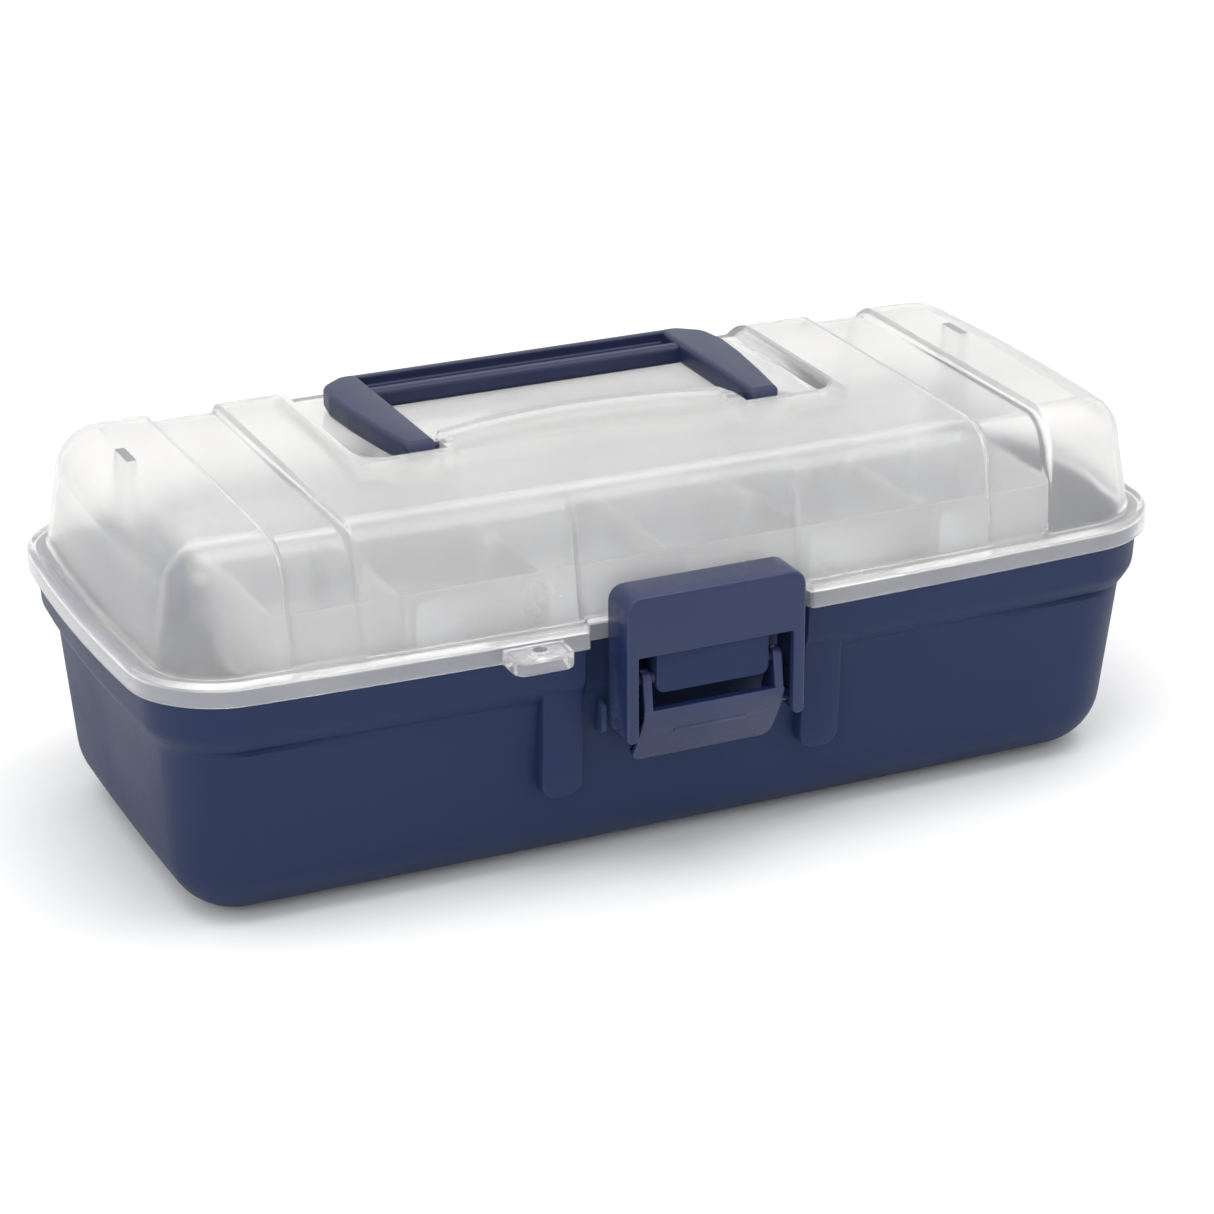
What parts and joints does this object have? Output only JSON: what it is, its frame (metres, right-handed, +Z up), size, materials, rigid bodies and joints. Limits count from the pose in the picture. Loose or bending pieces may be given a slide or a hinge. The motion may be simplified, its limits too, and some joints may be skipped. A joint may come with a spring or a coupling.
{
  "type": "fishing tackle box",
  "caption": "Plastic fishing tackle box with a frosted domed lid on rear hinges, a folding handle, a front draw latch and a tray that lifts with the lid.",
  "frame": {"origin": "on the floor plane under the middle of the lid's skirt outline, at the centre of the flat underside", "axes": "+X along the length, -Y to the front with the latch, +Z up"},
  "size_m": [0.33, 0.1721, 0.1184],
  "materials": {
    "base_shell": "satin moulded navy polypropylene, faintly grained",
    "lid_shell": "frosted translucent polypropylene",
    "handle": "satin moulded navy plastic",
    "latch": "semi-gloss moulded navy plastic",
    "tray": "pale natural polypropylene",
    "linkage": "satin moulded navy plastic",
    "pin_steel": "plain drawn steel"
  },
  "bodies": {
    "base": {"base_shell": "base_shell", "hinge_pin_left": "pin_steel", "hinge_pin_right": "pin_steel", "latch_pin": "latch", "rivet_base_left": "linkage", "rivet_base_right": "linkage"},
    "lid": {"lid_shell": "lid_shell", "rivet_lid_left": "linkage", "rivet_lid_right": "linkage"},
    "handle": {"handle": "handle"},
    "lever": {"latch_lever": "latch"},
    "hood": {"latch_hood": "latch"},
    "arm_left": {"arm_left": "linkage"},
    "arm_right": {"arm_right": "linkage"},
    "tray": {"tray": "tray", "tray_divider_1": "tray", "tray_divider_2": "tray", "tray_divider_3": "tray", "bracket_left": "linkage", "bracket_right": "linkage", "rivet_tray_left": "linkage", "rivet_tray_right": "linkage"}
  },
  "joints": [
    {"name": "lid_hinge", "type": "hinge", "parent": "base", "child": "lid", "pos_m": [0, 0.0815, 0.073], "axis": [-1, 0, 0], "range_deg": [0, 100]},
    {"name": "handle_hinge", "type": "hinge", "parent": "lid", "child": "handle", "pos_m": [0, -0.0044, 0.114], "axis": [1, 0, 0], "range_deg": [0, 90]},
    {"name": "lever_hinge", "type": "hinge", "parent": "base", "child": "lever", "pos_m": [0, -0.0805, 0.0636], "axis": [-1, 0, 0], "range_deg": [0, 110]},
    {"name": "hood_hinge", "type": "hinge", "parent": "lever", "child": "hood", "pos_m": [0, -0.079, 0.05], "axis": [-1, 0, 0], "range_deg": [-110, 0]},
    {"name": "arm_left_hinge", "type": "hinge", "parent": "base", "child": "arm_left", "pos_m": [0, 0.05, 0.05], "axis": [-1, 0, 0], "range_deg": [0, 100]},
    {"name": "arm_right_hinge", "type": "hinge", "parent": "base", "child": "arm_right", "pos_m": [0, 0.05, 0.05], "axis": [-1, 0, 0], "range_deg": [0, 100]},
    {"name": "tray_hinge", "type": "hinge", "parent": "arm_left", "child": "tray", "pos_m": [0, -0.0075, 0.065], "axis": [-1, 0, 0], "range_deg": [-100, 0]}
  ],
  "couplings": [
    {"joint": "hood_hinge", "follows": "lever_hinge", "ratio": -1},
    {"joint": "arm_left_hinge", "follows": "lid_hinge", "ratio": 1},
    {"joint": "arm_right_hinge", "follows": "lid_hinge", "ratio": 1},
    {"joint": "tray_hinge", "follows": "lid_hinge", "ratio": -1}
  ]
}
